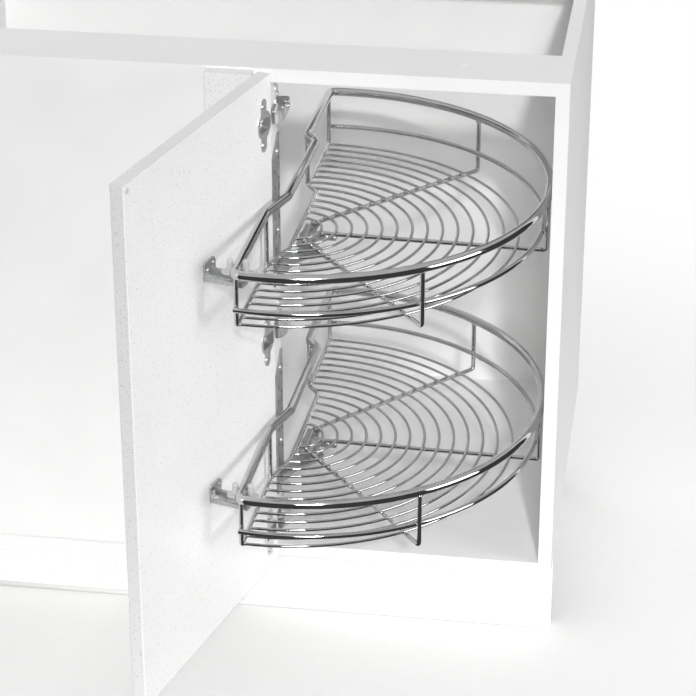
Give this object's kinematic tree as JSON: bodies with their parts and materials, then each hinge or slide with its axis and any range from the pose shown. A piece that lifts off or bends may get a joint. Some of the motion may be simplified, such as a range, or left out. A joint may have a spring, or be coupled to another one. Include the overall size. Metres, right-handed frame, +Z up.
{
  "type": "corner carousel cabinet",
  "caption": "Blind-corner base cabinet with an overlay door and half-moon wire shelves that swing out with the door through a rim guide",
  "frame": {"origin": "on the floor, centre of the middle front foot, which stands below the hinge post", "axes": "+X to the right seen from the front, +Y into the cabinet, +Z up; the door and shelves are swung out at rest"},
  "size_m": [0.9, 0.9545, 0.84],
  "materials": {
    "carcass_board": "white melamine-faced chipboard with edge band",
    "front_lacquer": "smooth white front, satin to gloss",
    "leg_plastic": "black moulded plastic",
    "bumper_rubber": "clear soft dots",
    "grey_steel": "grey coated pressed steel",
    "chrome_wire": "bright chromed steel wire",
    "guide_plastic": "translucent white nylon",
    "zinc_sheet": "zinc-plated sheet",
    "nickel_steel": "nickel-plated steel"
  },
  "bodies": {
    "cabinet": {"left_side_panel": "carcass_board", "right_side_panel": "carcass_board", "bottom_panel": "carcass_board", "back_panel": "carcass_board", "top_front_rail": "carcass_board", "top_rear_rail": "carcass_board", "hinge_post": "carcass_board", "blind_front_panel": "carcass_board", "filler_strip": "front_lacquer", "corner_brackets": "nickel_steel", "plinth_board": "front_lacquer", "plinth_clips": "leg_plastic", "leg_sockets": "leg_plastic", "leg_shafts": "leg_plastic", "leg_feet": "leg_plastic", "hinge_plates": "nickel_steel", "hinge_plate_screws": "nickel_steel", "hinge_arms": "nickel_steel", "hinge_arm_screws": "nickel_steel", "upper_bracket": "grey_steel", "upper_bracket_screws": "nickel_steel", "upper_pivot_pin": "nickel_steel", "upper_pivot_nut": "nickel_steel", "lower_bracket": "grey_steel", "lower_bracket_screws": "nickel_steel", "lower_pivot_pin": "nickel_steel", "lower_pivot_nut": "nickel_steel"},
    "door": {"door_panel": "front_lacquer", "door_bumpers": "bumper_rubber", "hinge_cups": "nickel_steel", "hinge_cup_screws": "nickel_steel", "upper_link_arm": "zinc_sheet", "lower_link_arm": "zinc_sheet", "upper_link_screws": "nickel_steel", "lower_link_screws": "nickel_steel"},
    "upper_shelf": {"upper_hub": "zinc_sheet", "upper_radials": "chrome_wire", "upper_rings": "chrome_wire", "upper_edge_wire": "chrome_wire", "upper_uprights": "chrome_wire", "upper_mid_rail": "chrome_wire", "upper_rim": "chrome_wire"},
    "upper_guide": {"upper_rim_guide": "guide_plastic"},
    "lower_shelf": {"lower_hub": "zinc_sheet", "lower_radials": "chrome_wire", "lower_rings": "chrome_wire", "lower_edge_wire": "chrome_wire", "lower_uprights": "chrome_wire", "lower_mid_rail": "chrome_wire", "lower_rim": "chrome_wire"},
    "lower_guide": {"lower_rim_guide": "guide_plastic"}
  },
  "joints": [
    {"name": "door_swing", "type": "hinge", "parent": "cabinet", "child": "door", "pos_m": [-0.01, -0.114, 0.478], "axis": [0, 0, 1], "range_deg": [0, 105]},
    {"name": "upper_shelf_turn", "type": "hinge", "parent": "cabinet", "child": "upper_shelf", "pos_m": [0.038, -0.024, 0.586], "axis": [0, 0, 1], "range_deg": [0, 92]},
    {"name": "upper_guide_slide", "type": "slide", "parent": "upper_shelf", "child": "upper_guide", "axis": [0.0349, 0.9994, 0], "range_m": [0, 0.1475]},
    {"name": "lower_shelf_turn", "type": "hinge", "parent": "cabinet", "child": "lower_shelf", "pos_m": [0.038, -0.024, 0.27], "axis": [0, 0, 1], "range_deg": [0, 92]},
    {"name": "lower_guide_slide", "type": "slide", "parent": "lower_shelf", "child": "lower_guide", "axis": [0.0349, 0.9994, 0], "range_m": [0, 0.1475]}
  ],
  "couplings": [
    {"joint": "upper_shelf_turn", "follows": "door_swing", "ratio": 0.876},
    {"joint": "upper_guide_slide", "follows": "door_swing", "m_per_rad": 0.0804},
    {"joint": "lower_shelf_turn", "follows": "door_swing", "ratio": 0.876},
    {"joint": "lower_guide_slide", "follows": "door_swing", "m_per_rad": 0.0804}
  ]
}
